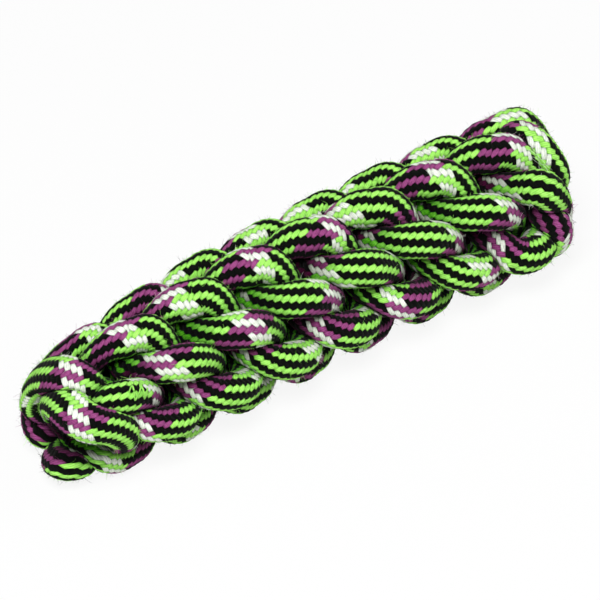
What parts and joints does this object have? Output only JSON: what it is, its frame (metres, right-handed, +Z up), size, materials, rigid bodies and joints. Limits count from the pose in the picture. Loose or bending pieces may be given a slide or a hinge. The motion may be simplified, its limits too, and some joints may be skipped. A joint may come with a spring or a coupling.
{
  "type": "rope dog toy",
  "caption": "Stiff round stick of soft braided cotton cords, each folded in half, twisted on itself and laid with the others, with folded ends.",
  "frame": {"origin": "on the ground, under the middle of the stick", "axes": "+X along the stick toward its far end, +Y away from the viewer, +Z up"},
  "size_m": [0.1904, 0.0554, 0.05],
  "materials": {
    "cotton": "braided cotton yarn in lime, black, purple and white, matt"
  },
  "bodies": {
    "root": {"folded_cord_1": "cotton", "folded_cord_2": "cotton", "folded_cord_3": "cotton", "folded_cord_4": "cotton"}
  },
  "joints": []
}
